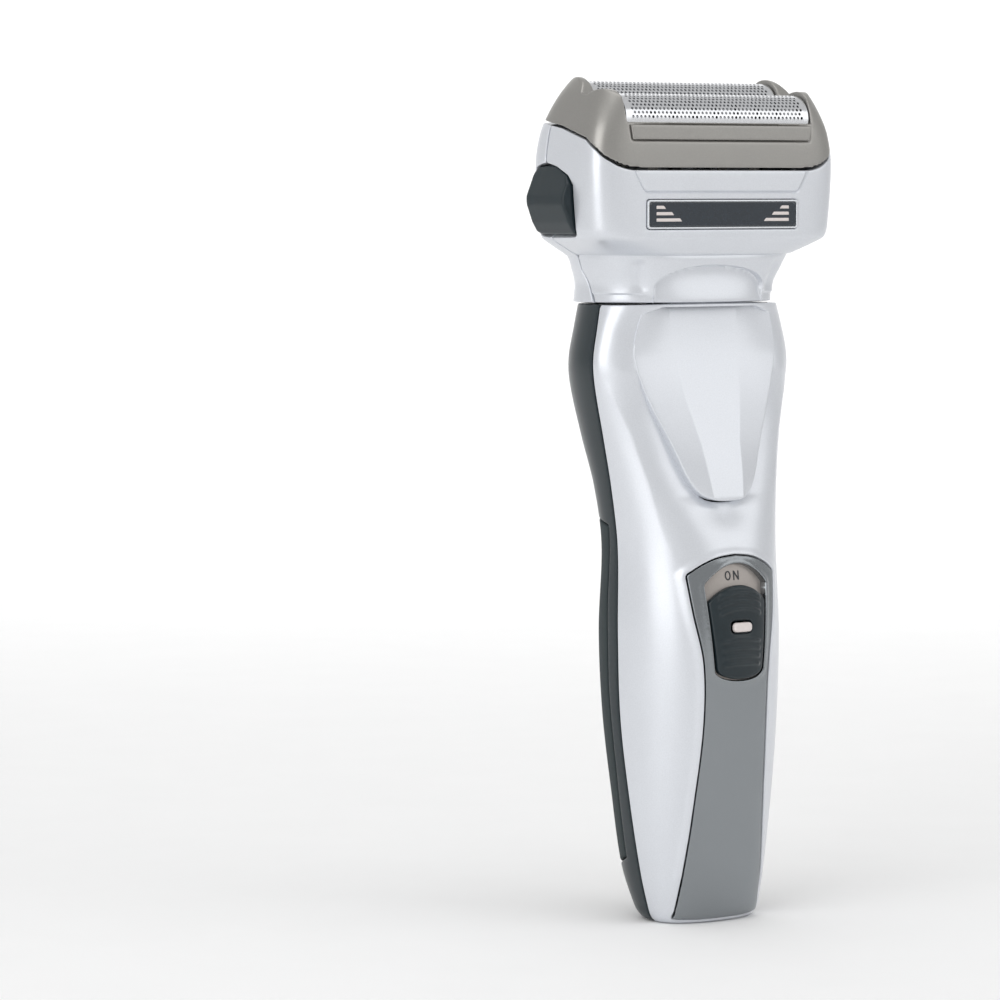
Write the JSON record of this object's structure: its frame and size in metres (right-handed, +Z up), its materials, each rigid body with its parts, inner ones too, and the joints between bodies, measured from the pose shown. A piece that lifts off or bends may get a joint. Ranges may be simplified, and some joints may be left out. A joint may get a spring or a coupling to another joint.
{
  "type": "electric foil shaver",
  "caption": "Cordless foil shaver standing on its base: curved handle with thumb shield and sliding switch, pull-off head with arched foils and side release buttons.",
  "frame": {"origin": "middle of the flat underside of the base", "axes": "+Z up along the handle, -Y towards the switch and thumb shield, X across"},
  "size_m": [0.0612, 0.0379, 0.163],
  "materials": {
    "silver_shell": "satin silver lacquer on plastic",
    "black_shell": "glossy dark plastic",
    "grip_rubber": "matt soft-touch rubber",
    "smoked_chrome": "smoked chrome plated plastic",
    "slot_beige": "pale warm plastic",
    "indicator": "milky light guide",
    "bronze_frame": "satin bronze grey lacquer on plastic",
    "blade_block": "ground steel blades on a light carrier",
    "foil_steel": "bright perforated steel",
    "window_glass": "dark clear pane",
    "bright_trim": "polished trim",
    "machined_steel": "bare steel",
    "cell_jacket": "printed shrink sleeve over the cell",
    "board": "circuit board laminate",
    "nylon": "plain nylon moulding",
    "dark_nylon": "dark nylon moulding",
    "copper": "tinned copper alloy"
  },
  "bodies": {
    "handle": {"front_shell": "silver_shell", "rear_shell": "black_shell", "rear_grip": "grip_rubber", "switch_panel": "smoked_chrome", "slot_plate": "slot_beige", "motor_can": "machined_steel", "drive_seal": "grip_rubber", "chassis": "nylon", "battery_cell_left": "cell_jacket", "battery_cell_right": "cell_jacket", "battery_contact_top": "copper", "battery_contact_bottom": "copper", "circuit_board": "board", "slide_switch": "dark_nylon", "board_led": "indicator", "charging_socket": "dark_nylon", "charging_pin_left": "copper", "charging_pin_right": "copper", "chassis_screw_left": "machined_steel", "chassis_screw_right": "machined_steel"},
    "power_switch": {"switch_button": "black_shell", "indicator_lens": "indicator"},
    "rotor": {"motor_shaft": "machined_steel", "crank": "nylon"},
    "head": {"head_front_housing": "silver_shell", "head_rear_housing": "silver_shell", "window_bezel": "bright_trim", "window_pane": "window_glass", "release_spring_left": "machined_steel", "release_spring_right": "machined_steel"},
    "release_left": {"release_button_left": "black_shell"},
    "release_right": {"release_button_right": "black_shell"},
    "foil_cassette": {"foil_frame": "bronze_frame", "frame_trim": "bronze_frame", "front_foil": "foil_steel", "rear_foil": "foil_steel"},
    "oscillator": {"oscillator": "nylon", "front_cutter_spring": "machined_steel", "rear_cutter_spring": "machined_steel"},
    "front_cutter": {"front_cutter": "blade_block"},
    "rear_cutter": {"rear_cutter": "blade_block"}
  },
  "joints": [
    {"name": "power_switch_slide", "type": "slide", "parent": "handle", "child": "power_switch", "axis": [0, 0.0514, 0.9987], "range_m": [0, 0.0035]},
    {"name": "motor_spin", "type": "hinge", "parent": "handle", "child": "rotor", "pos_m": [0, 0.006, 0.11], "axis": [0, 0, 1], "continuous": true},
    {"name": "head_pull_off", "type": "slide", "parent": "handle", "child": "head", "axis": [0, 0, 1], "range_m": [0, 0.03]},
    {"name": "release_left_press", "type": "slide", "parent": "head", "child": "release_left", "axis": [1, 0, 0], "range_m": [0, 0.0012], "stiffness_N_per_m": 400, "springref_m": -0.001},
    {"name": "release_right_press", "type": "slide", "parent": "head", "child": "release_right", "axis": [-1, 0, 0], "range_m": [0, 0.0012], "stiffness_N_per_m": 400, "springref_m": -0.001},
    {"name": "foil_cassette_lift", "type": "slide", "parent": "head", "child": "foil_cassette", "axis": [0, 0, 1], "range_m": [0, 0.018]},
    {"name": "cutter_drive", "type": "slide", "parent": "head", "child": "oscillator", "axis": [1, 0, 0], "range_m": [-0.001, 0.001], "stiffness_N_per_m": 300},
    {"name": "front_cutter_float", "type": "slide", "parent": "oscillator", "child": "front_cutter", "axis": [0, 0, 1], "range_m": [-0.001, 0], "stiffness_N_per_m": 400, "springref_m": 0.001, "deforming": ["front_cutter_spring"]},
    {"name": "rear_cutter_float", "type": "slide", "parent": "oscillator", "child": "rear_cutter", "axis": [0, 0, 1], "range_m": [-0.001, 0], "stiffness_N_per_m": 400, "springref_m": 0.001, "deforming": ["rear_cutter_spring"]}
  ]
}
